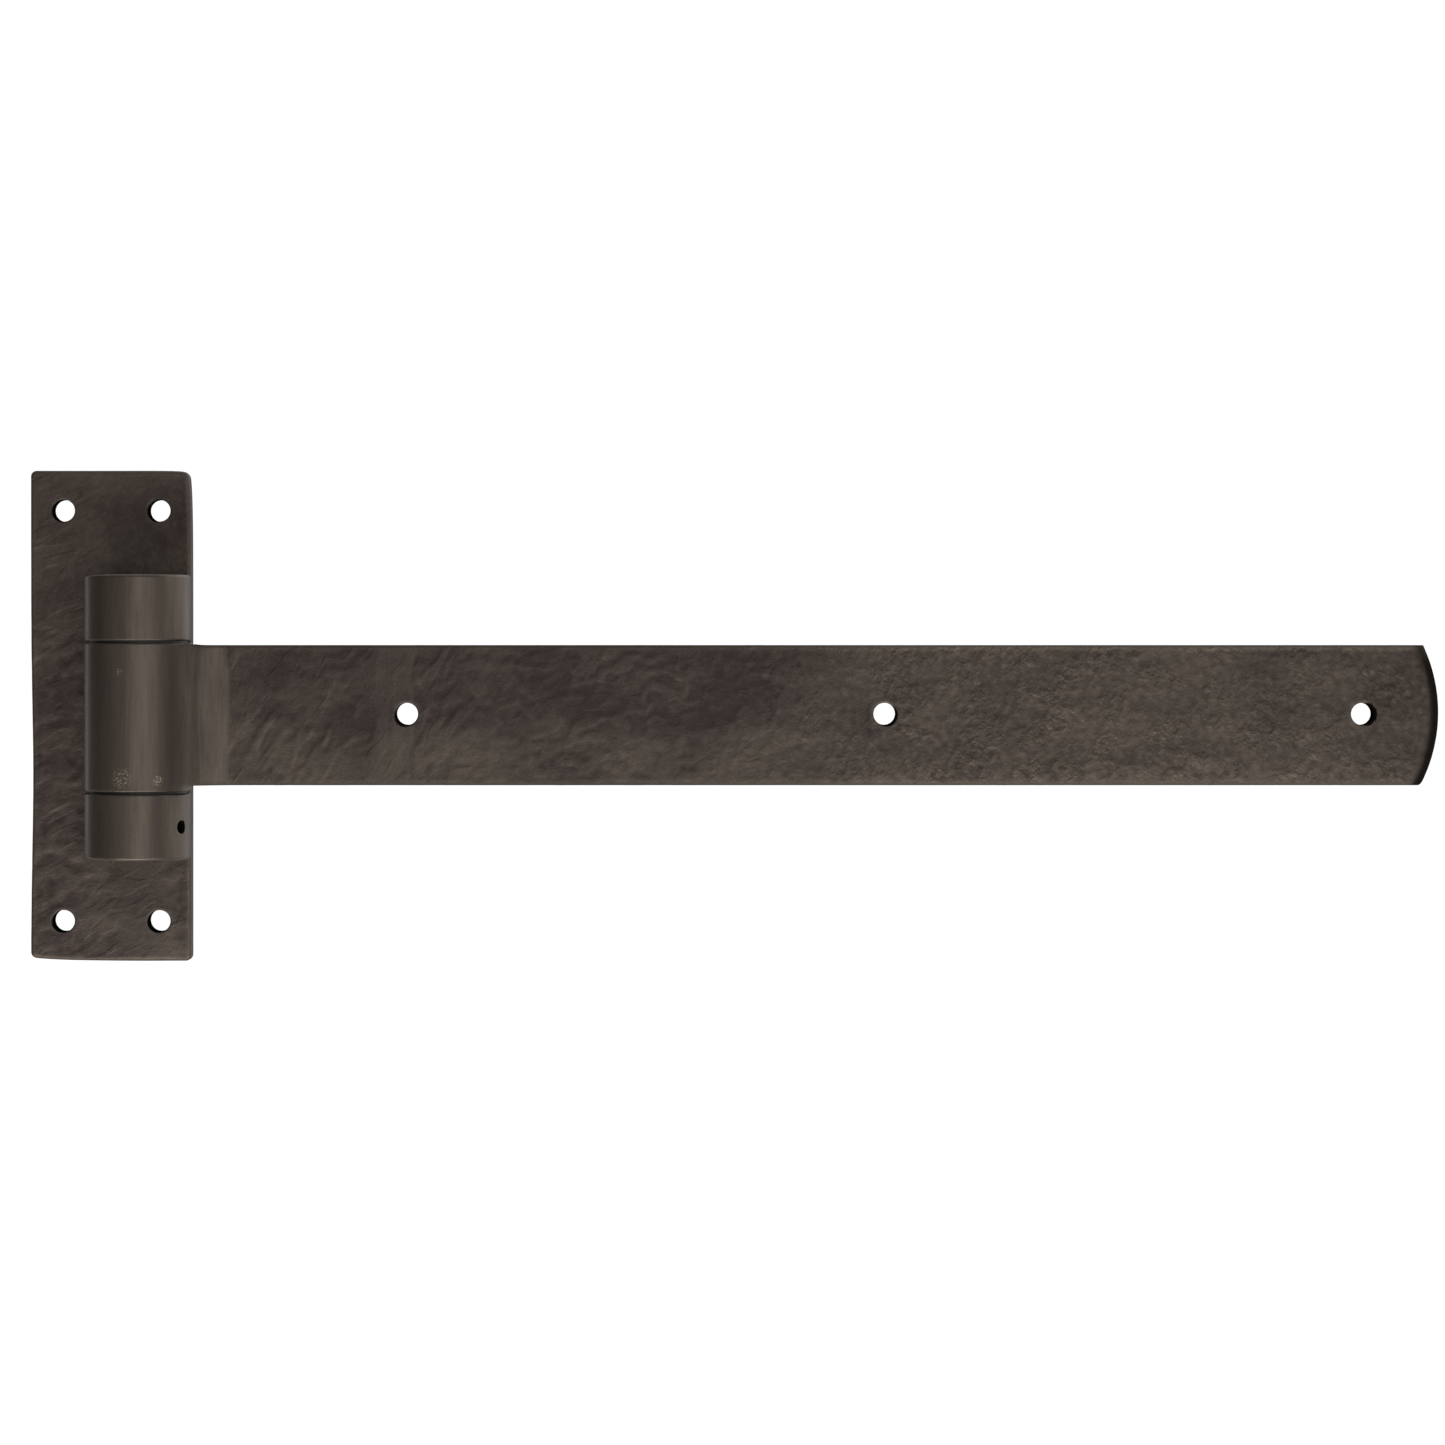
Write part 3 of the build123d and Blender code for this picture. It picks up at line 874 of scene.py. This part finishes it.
def patinated_cast_bronze(name, finish, slopes, pebbled_from, nicks):
    """Sand-cast bronze under a thick brown patina, ground bright on its knuckles and then patinated again.

    The eye sees a dull dark brown skin, browner in its hollows and greyer on its lumps, rubbed to a
    warm sheen along edges, and on the ground knuckles a smoother satin with fine lines along the pin.
    slopes are those of the tool strokes near the pin and further out; from pebbled_from, in metres
    along the hinge, the skin is pebbled. nicks are x, y, z and reach, in millimetres.
    """
    material, add, place = new_material(name, finish.patina_dark)
    along = add("SeparateXYZ", (place,), "X")
    # Marks on the piece: wear, grinding, patina in small hollows, painted shade in near black, the darker knuckle
    # bands and root hollow, and painted light and shade over the faces.
    wear, ground, hollow, grime, corner, tone = [
        add("Attribute", output="Fac", attribute_name=mark)
        for mark in ("wear", "ground", "hollow", "grime", "corner", "tone")
    ]
    pebbled = add("MapRange", (along, pebbled_from, pebbled_from + 0.1))
    dressed = add("MapRange", (ground, 0.85, 1.0, 1.0, 0.45))

    # Sizes in millimetres. Grain, the finest, is coarser than real sand marks, so that it shows.
    clouds = lumps(add, place, (26, 20, 16), 4)
    mottle = lumps(add, place, (3, 3, 3), 4, 0.65)
    grain = lumps(add, place, (0.7, 0.7, 0.7), 3, 0.65)
    pebbles = lumps(add, place, (2.1, 2.0, 2.5), 2, 0.6)
    brushed = lumps(add, place, (0.4, 0.4, 12), 3, 0.6)
    blotches = lumps(add, place, (3, 3, 24), 4, 0.6, 0.3)
    flecks = chips(add, place, nicks)

    # Share of the light patina: clouds, mottle and grain, plus painted light and shade over the faces, less in
    # small hollows.
    thin = sum_of(
        add,
        add("MapRange", (clouds, 0.36, 0.64, 0.16, 0.56)),
        (add("MapRange", (mottle, 0.35, 0.65, -0.06, 0.08)), 1),
        (add("MapRange", (grain, 0.3, 0.7, -0.08, 0.08)), 1),
        (tone, 1),
        (hollow, -0.22),
    )
    stains = sum_of(
        add,
        0.0,
        (add("MapRange", (blotches, 0.35, 0.65, -0.5, 0.5)), dressed),
        (add("MapRange", (brushed, 0.3, 0.7, 0.3, 0.7)), 1),
        (add("MapRange", (grain, 0.3, 0.7, -0.12, 0.12)), 1),
    )
    rubbed = add("Math", (wear, add("MapRange", (pebbled, 0, 1, 0.22, 0.65))), operation="MULTIPLY")
    ground_colour = layered(
        add,
        linear(finish.ground_dark),
        (stains, linear(finish.ground)),
        # Dark patina colour over the ground bronze: painted shade in a band down each plate knuckle, and darker
        # along the strap's root hollow.
        (add("Math", (corner, 0.75), operation="MULTIPLY"), linear(finish.patina_dark)),
        (flecks, linear(finish.chipped)),
    )
    colour = layered(
        add,
        linear(finish.patina_dark),
        (thin, linear(finish.patina_light)),
        (rubbed, linear(finish.rubbed)),
        (ground, ground_colour),
        # Painted shade: near black over the hole walls and the crescents beside them, in the set screw's hole,
        # round the strap's tip and along its edges.
        (grime, linear(finish.grime)),
    )

    cast_gloss = add("MapRange", (mottle, 0.3, 0.7, 0.54, 0.46))
    ground_gloss = add("MapRange", (blotches, 0.3, 0.7, 0.39, 0.33))
    gloss = add("Mix", {0: ground, 2: cast_gloss, 3: ground_gloss})

    strokes = wrinkles(add, place, (14, 6, 4.2), slopes[0])
    crumples = wrinkles(add, place, (6.5, 5, 5), slopes[1])
    steps = add("Mix", {0: add("MapRange", (along, 0.1, 0.16)), 2: strokes, 3: crumples})
    patches = add("MapRange", (lumps(add, place, (13, 13, 10), 2), 0.38, 0.6, 0.35, 1.1))
    pebbling = add("Math", (pebbled, patches), operation="MULTIPLY")
    cast_height = sum_of(
        add,
        0.0,
        (steps, add("MapRange", (pebbled, 0, 1, 0.09 * MM, 0))),
        (mottle, 0.23 * MM),
        (grain, 0.07 * MM),
        (add("Math", (pebbles, pebbling), operation="MULTIPLY"), 0.7 * MM),
    )
    ground_height = sum_of(
        add,
        0.0,
        (flecks, -0.05 * MM),
        (brushed, 0.03 * MM),
        (add("Math", (blotches, dressed), operation="MULTIPLY"), 0.09 * MM),
        (grain, 0.022 * MM),
    )
    cast_bump, ground_bump = [
        add("Bump", {"Height": height, "Distance": 1.0}) for height in (cast_height, ground_height)
    ]
    return surfaced(material, {
        "Base Color": colour,
        # Where shade is painted, the skin is also matt and no longer metallic.
        "Metallic": add("MapRange", (grime, 0, 1, 0.85, 0)),
        "Roughness": add("Mix", {0: grime, 2: gloss, 3: 0.9}),
        "Specular IOR Level": add("MapRange", (grime, 0, 1, 0.5, 0)),
        "Normal": add("Mix", {0: ground, 4: cast_bump, 5: ground_bump}, 1, data_type="VECTOR"),
    })


def turned_steel(finish):
    """Stainless bar, faced and polished in a lathe: bright grey, with fine rings round the pin's axis."""
    material, add, place = new_material("turned_stainless_steel", finish.steel)
    centred = add("Mapping", {"Vector": place, "Location": (-AXIS.x, -AXIS.y, 0)})
    ring = 0.9 * MM
    inputs = {"Vector": centred, "Scale": 1 / (2 * pi * ring), "Distortion": 1.0, "Detail": 2.0}
    rings = add("TexWave", inputs, "Fac", wave_type="RINGS", rings_direction="Z")
    return surfaced(material, {
        "Base Color": layered(add, linear(finish.steel), (rings, linear("#8e8b86"))),
        "Metallic": 1.0,
        "Roughness": add("MapRange", (rings, 0, 1, 0.24, 0.34)),
        "Normal": add("Bump", {"Height": rings, "Distance": 0.006 * MM}),
    })


def blackened_steel(finish):
    """Case-hardened screw steel with a thin oily black oxide: nearly black, with a soft grey sheen."""
    material, add, place = new_material("black_oxide_steel", finish.black)
    stain = add("MapRange", (lumps(add, place, (1.2, 1.2, 1.2), 3), 0.3, 0.7))
    return surfaced(material, {
        "Base Color": layered(add, linear("#1a1918"), (stain, linear("#312e2b"))),
        "Metallic": 1.0,
        "Roughness": add("MapRange", (stain, 0, 1, 0.5, 0.38)),
    })


def moulded_nylon(finish):
    """Black nylon washers, moulded and slightly matt: a broad weak gloss and a trace of moulding grain."""
    material, add, place = new_material("moulded_black_nylon", finish.black)
    grain = lumps(add, place, (0.6, 0.6, 0.6), 2)
    spread = add("MapRange", (grain, 0.3, 0.7))
    return surfaced(material, {
        "Base Color": layered(add, linear(finish.black), (spread, linear("#1d1c1b"))),
        "Roughness": add("MapRange", (spread, 0, 1, 0.45, 0.58)),
        "IOR": 1.53,
        "Normal": add("Bump", {"Height": grain, "Distance": 0.02 * MM}),
    })


def floor_paint():
    """Matt off-white paint on a studio floor, barely uneven."""
    material, add, place = new_material("matt_floor_paint", "#e9e8e6")
    uneven = lumps(add, place, (400, 400, 400), 2)
    colour = layered(add, linear("#e9e8e6"), (uneven, linear("#eeedeb")))
    return surfaced(material, {"Base Color": colour, "Roughness": 0.85})


# ---- making ----


def in_holes(p, places, front_y, sides):
    """Painted shade: 1 on the walls of the screw holes, and on a dark crescent of shadow beside each.

    A side is the x and z of the way from the hole's middle to its crescent's, and the crescent's width
    in millimetres there. It narrows as the cosine of the turn from there.
    """
    dark = np.zeros(len(p))
    for (x, z), (side_x, side_z, width) in zip(places, sides):
        out_x, out_z = p[:, 0] - x, p[:, 2] - z
        reach = np.hypot(out_x, out_z) + 1e-9
        turned = np.clip((out_x * side_x + out_z * side_z) / reach, 0, 1)
        edge = HOLE_RADIUS + width * MM * turned
        crescent = (1 - smooth(reach - edge, -0.15 * MM, 0.15 * MM)) * smooth(turned, 0.0, 0.4)
        wall = 1 - smooth(reach, HOLE_RADIUS + 0.8 * RIM, HOLE_RADIUS + RIM)
        start = front_y + LEVEL + 0.3 * MM
        dark = np.maximum(dark, np.maximum(crescent, wall * smooth(p[:, 1], start, start + 0.12 * MM)))
    return dark


def in_screw_hole(p):
    """Painted shade: 1 on the walls of the set screw's hole."""
    out = (p[:, 0] - AXIS.x) * cos(SCREW_TURN) + (p[:, 1] - AXIS.y) * sin(SCREW_TURN)
    across = (p[:, 1] - AXIS.y) * cos(SCREW_TURN) - (p[:, 0] - AXIS.x) * sin(SCREW_TURN)
    reach = np.hypot(across, p[:, 2] - SCREW_MIDDLE.z) - SCREW_RADIUS
    near = 1 - smooth(reach, 0.1 * MM, 0.2 * MM)
    return near * smooth(-from_barrel(p), 0.02 * MM, 0.2 * MM) * smooth(out, 0, PIN_RADIUS)


def shaded_tip(p, sizes):
    """Painted shade on the strap's rounded end, a little less at its upper corner."""
    from_tip = tip_line(sizes, p[:, 2]) - p[:, 0]
    corner = smooth(p[:, 2], 16 * MM, 23 * MM)
    return (0.95 - 0.2 * corner) * (1 - smooth(from_tip, 2.0 * MM, 4.8 * MM))


def dark_edges(p, sizes):
    """Painted shade in a thin line along the front of the strap's long edges, wider along the lower one."""
    up, half = p[:, 2] - sizes.strap_rise, sizes.strap_width / 2
    ahead = smooth(p[:, 1], STRAP_FRONT + 1.6 * MM, STRAP_FRONT + 1.1 * MM)
    line = 0.75 * smooth(np.abs(up) - half, -0.3 * MM, 0.05 * MM)
    under = 0.42 * smooth(-up - half, -1.2 * MM, -0.6 * MM)
    return np.maximum(line, under) * ahead * off_barrel(p)


def plate_light_and_shade(p):
    """Painted light and shade on the plate: lighter towards the bottom, where light from below falls, a little
    lighter high up, darker on its left, away from the light from the right, and darkest just above the upper
    knuckle, in its shadow.
    """
    x, z = p[:, 0] / MM, p[:, 2] / MM
    above = smooth(z, 78, 60) * smooth(z, 50, 56) * smooth(x, -12, 2)
    return 0.08 * smooth(z, -52, -70) + 0.05 * smooth(z, 40, 60) - 0.09 * smooth(x, -4, -12) - 0.18 * above


def strap_light_and_shade(p):
    """Painted light and shade on the strap: lighter low down and towards its tip, where light from below and the
    right falls, with painted highlights in lumps along the lower edge there and lighter long edges; a little
    darker about its middle and near its end.
    """
    x, z = p[:, 0] / MM, p[:, 2] / MM
    level = z + 6 * noise(p, (24, 24, 10), 81)
    low = smooth(level, -1, -11) + 0.7 * smooth(x + 2.2 * level, 62, 40)
    to_tip = smooth(x, 200, 290)
    light_lumps = smooth(noise(p, 2.6, 82), -0.25, 0.3) * smooth(z, -11 + 3 * noise(p, 12, 83), -18)
    end = smooth(x, 385, 402)
    edges = 0.1 * smooth(z, -19.4, -20.4) + 0.3 * to_tip * smooth(z, 20.6, 21.6)
    middle = np.exp(-(((x - 150) / 60) ** 2))
    near_half = 0.34 * (1 - to_tip) * np.minimum(low, 1) - 0.06 * middle
    far_half = to_tip * (0.4 - 0.16 * end + 0.5 * light_lumps)
    return near_half + far_half + edges - 0.2


def knuckle_painted_shade(p):
    """Painted shade: a darker band down each of the plate's knuckles, just past the highlight, deeper on the lower
    one.
    """
    streak = np.exp(-(((p[:, 0] / MM - 18.6) / 1.9) ** 2))
    return streak * np.where(p[:, 2] < 0, 0.75, 0.2) * (1 - off_barrel(p))


WORN_BULGE = 0.03 * MM  # an edge that stands out this far of its neighbours is rubbed bare
FULL_HOLLOW = 0.012 * MM


def finish_casting(piece, material, **marks):
    """Give a casting its material and the marks that the material reads, with wear and hollows."""
    mesh = piece.data
    mesh.shade_smooth()
    out = bulge(mesh)
    marks |= {"wear": np.clip(out / WORN_BULGE, 0, 1), "hollow": np.clip(-out / FULL_HOLLOW, 0, 1)}
    for name, values in marks.items():
        attribute = mesh.attributes.new(name, "FLOAT", "POINT")
        attribute.data.foreach_set("value", values.astype(np.float32))
    mesh.materials.append(material)


def ground_knuckle(p):
    """1 on a ground knuckle, 0 on the cast skin."""
    outer = PIN_HIGH.z + PIN_RECESS
    on_plate = smooth(p[:, 1], -PLATE_THICKNESS - 1.0 * MM, -PLATE_THICKNESS)
    beyond = smooth(np.abs(p[:, 2]), outer, outer + 0.5 * MM)
    return (1 - off_barrel(p, 0.2 * MM, 2 * MM)) * (1 - on_plate) * (1 - beyond)


def ground_strap(p):
    """Ground barrel, the dressed stretch next to it, and the faint band ground through the first hole."""
    x = p[:, 0] / MM
    edge = dressing_edge(p)
    dressed = 0.8 * (1 - smooth(x, edge - 1.5, edge + 2))
    band = 0.3 * smooth(x, 86.5, 89) * smooth(x, 100, 99)
    return np.maximum(np.maximum(ground_knuckle(p), dressed), band)


def darker_root_hollow(p):
    """1 along the hollow where the strap's front leaves its knuckle: the ground bronze is darker there."""
    out, front = p[:, 0] - AXIS.x, AXIS.y - p[:, 1]
    ahead = np.exp(-(((out - 12.4 * MM) / (2.6 * MM)) ** 2))
    return ahead * smooth(front, 2 * MM, 8 * MM) * smooth(out, 0, 5 * MM)


class HINGE_OT_plate(bpy.types.Operator):
    """Make the butt plate with its two knuckles"""

    bl_idname = "hinge.plate"
    bl_label = "Butt plate"

    def execute(self, context):
        sizes = context.scene.hinge_sizes
        finish = context.scene.hinge_finish
        nicks = [(4.7, -39.8, 50.5, 1.0)]
        bronze = patinated_cast_bronze("patinated_bronze_plate", finish, (24, 24), 1.0, nicks)
        piece = plate_piece(sizes)
        places = list(product((-HOLE_X, HOLE_X), (-HOLE_Z, HOLE_Z)))
        press(piece, lambda p: sizes.relief * plate_relief(p, places), plate_outline, PLATE_LOW, PLATE_HIGH)
        p = read(piece.data.vertices, "co")
        sides = [(-0.8, -0.6, 0.55)] * len(places)
        finish_casting(
            piece,
            bronze,
            ground=ground_knuckle(p),
            # painted shade on the hole walls, beside the holes and in the set screw's hole
            grime=np.maximum(in_holes(p, places, -PLATE_THICKNESS, sides), in_screw_hole(p)),
            # painted shade down each knuckle
            corner=knuckle_painted_shade(p),
            # painted light and shade over the plate
            tone=plate_light_and_shade(p),
        )
        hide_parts("butt_plate")
        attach(piece, "plate")
        return {"FINISHED"}


class HINGE_OT_strap(bpy.types.Operator):
    """Make the strap with its knuckle"""

    bl_idname = "hinge.strap"
    bl_label = "Strap"

    def execute(self, context):
        sizes = context.scene.hinge_sizes
        finish = context.scene.hinge_finish
        nicks = [(8.5, -40.8, -19.2, 3.8), (19.6, -38.9, -20.2, 2.2), (7.5, -40.8, 14.5, 1.6)]
        bronze = patinated_cast_bronze("patinated_bronze_strap", finish, (58, 15), 0.17, nicks)
        piece = strap_piece(sizes)
        places = [(place, BOLT_Z) for place in BOLT_PLACES]
        press(piece, lambda p: sizes.relief * strap_relief(p, places), strap_outline, STRAP_LOW, STRAP_HIGH)
        p = read(piece.data.vertices, "co")
        sides = [(-0.64, -0.77, 0.8), (0.87, -0.5, 0.95), (1.0, -0.1, 1.35)]
        holes = in_holes(p, places, STRAP_FRONT, sides)
        finish_casting(
            piece,
            bronze,
            ground=ground_strap(p),
            # painted shade in and beside the holes, round the tip and along the long edges
            grime=np.maximum(holes, np.maximum(shaded_tip(p, sizes), dark_edges(p, sizes))),
            corner=darker_root_hollow(p),
            # painted light and shade over the strap
            tone=strap_light_and_shade(p),
        )
        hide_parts("strap")
        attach(piece, "strap")
        return {"FINISHED"}


class HINGE_OT_hardware(bpy.types.Operator):
    """Finish the pin, the set screw and the washers"""

    bl_idname = "hinge.hardware"
    bl_label = "Pin, screw and washers"

    def execute(self, context):
        finish = context.scene.hinge_finish
        nylon = moulded_nylon(finish)
        materials = {
            "hinge_pin": turned_steel(finish),
            "set_screw": blackened_steel(finish),
            "upper_washer": nylon,
            "lower_washer": nylon,
        }
        for name, material in materials.items():
            mesh = frame["nodes"][name].data
            mesh.materials.clear()
            mesh.materials.append(material)
        return {"FINISHED"}


class HINGE_OT_stage(bpy.types.Operator):
    """Set up the camera, the lights and the floor"""

    bl_idname = "hinge.stage"
    bl_label = "Stage"

    def execute(self, context):
        stage = context.scene.hinge_stage
        scene = context.scene
        scene.view_settings.view_transform = "Standard"
        place_camera(scene, stage)
        scene.world = studio_world()
        low_soft_box(scene)
        lay_floor(stage)
        return {"FINISHED"}


# Soft boxes, as patches of light far away: degrees round from the front towards the strap's tip,
# degrees up, degrees across the bright middle and to the end of its fading, and radiance.
SOFT_BOXES = [
    (22, -8, 6, 42, 1.15),
    (112, -5, 20, 60, 0.85),
    (-25, 5, 10, 50, 0.2),
    (-150, 0, 10, 34, 0.7),
    (160, 68, 15, 72, 0.85),
]
SHADE = 0.105  # radiance between them
BACKDROP = 1.05  # what the camera sees behind the hinge, just over white


def place_camera(scene, stage):
    """Level camera straight in front, its frame shifted down so that the strap lies at mid height."""
    camera = bpy.data.cameras.new("camera")
    camera.sensor_width = 36.0
    camera.lens = camera.sensor_width * stage.distance / stage.view_width
    camera.shift_y = (stage.view_z - stage.eye_z) / stage.view_width
    camera.clip_end = 100.0
    holder = bpy.data.objects.new("camera", camera)
    holder.location = (stage.aim_x, AXIS.y - stage.distance, stage.eye_z)
    holder.rotation_euler = (pi / 2, 0, 0)
    scene.collection.objects.link(holder)
    scene.camera = holder


def low_soft_box(scene):
    """Long soft box low in front, close enough that the hinge's lower parts catch more of it."""
    lamp = bpy.data.lights.new("low_soft_box", "AREA")
    lamp.shape = "RECTANGLE"
    lamp.size, lamp.size_y = 0.9, 0.35
    lamp.energy = 2.6
    holder = bpy.data.objects.new("low_soft_box", lamp)
    holder.location = (0.12, -0.42, -0.42)
    holder.rotation_euler = (Vector((0.12, 0, 0)) - holder.location).to_track_quat("-Z", "Y").to_euler()
    holder.visible_camera = False
    scene.collection.objects.link(holder)


def studio_world():
    """Soft boxes round the hinge in a grey studio. The camera itself sees plain white behind it.

    A soft box's light is its radiance times a smooth step of the cosine of the angle from its middle.
    """
    world = bpy.data.worlds.new("studio")
    world.use_nodes = True
    world.node_tree.nodes.clear()
    add = partial(add_node, world.node_tree)
    direction = add("TexCoord", output="Generated")
    total = SHADE
    for turn, rise, inner, outer, radiance in SOFT_BOXES:
        turn, rise = radians(turn), radians(rise)
        middle = (sin(turn) * cos(rise), -cos(turn) * cos(rise), sin(rise))
        cosine = add("VectorMath", (direction, middle), "Value", operation="DOT_PRODUCT")
        inputs = (cosine, cos(radians(outer)), cos(radians(inner)), 0, radiance)
        total = sum_of(add, total, (add("MapRange", inputs, interpolation_type="SMOOTHSTEP"), 1))
    seen = add("LightPath", output="Is Camera Ray")
    strength = add("Mix", {0: seen, 2: total, 3: BACKDROP})
    add("OutputWorld", {"Surface": add("Background", {"Color": (1, 1, 1, 1), "Strength": strength})})
    return world


def lay_floor(stage):
    """Pale level floor far below the hinge, as a grid."""
    x, y = np.meshgrid(np.linspace(-2.5, 2.9, 28), np.linspace(-2.5, 1.2, 20), indexing="ij")
    skin = Skin()
    skin.fine(stacked(x, y, -stage.drop))
    mesh = bpy.data.meshes.new("floor")
    mesh.from_pydata(skin.points[0], [], skin.faces[0].tolist())
    mesh.materials.append(floor_paint())
    floor = bpy.data.objects.new("floor", mesh)
    bpy.context.scene.collection.objects.link(floor)


class HINGE_PT_panel(bpy.types.Panel):
    """Buttons that make the hinge, and its sizes and finishes"""

    bl_idname = "HINGE_PT_panel"
    bl_label = "T Hinge"
    bl_space_type = "VIEW_3D"
    bl_region_type = "UI"
    bl_category = "T Hinge"

    def draw(self, context):
        for operator in OPERATORS:
            self.layout.operator(operator.bl_idname)
        for group in (context.scene.hinge_sizes, context.scene.hinge_finish, context.scene.hinge_stage):
            box = self.layout.box()
            for name in group.bl_rna.properties.keys():
                if name not in ("rna_type", "name"):
                    box.prop(group, name)


OPERATORS = (HINGE_OT_plate, HINGE_OT_strap, HINGE_OT_hardware, HINGE_OT_stage)
GROUPS = {"hinge_sizes": HingeSizes, "hinge_finish": HingeFinish, "hinge_stage": HingeStage}


def register():
    for group in (*GROUPS.values(), *OPERATORS, HINGE_PT_panel):
        bpy.utils.register_class(group)
    for name, group in GROUPS.items():
        setattr(bpy.types.Scene, name, PointerProperty(type=group))


def unregister():
    for name in GROUPS:
        delattr(bpy.types.Scene, name)
    for group in (HINGE_PT_panel, *reversed(OPERATORS), *GROUPS.values()):
        bpy.utils.unregister_class(group)


def main():
    register()
    bpy.ops.hinge.plate()
    bpy.ops.hinge.strap()
    bpy.ops.hinge.hardware()
    bpy.ops.hinge.stage()


if __name__ == "__main__":
    main()
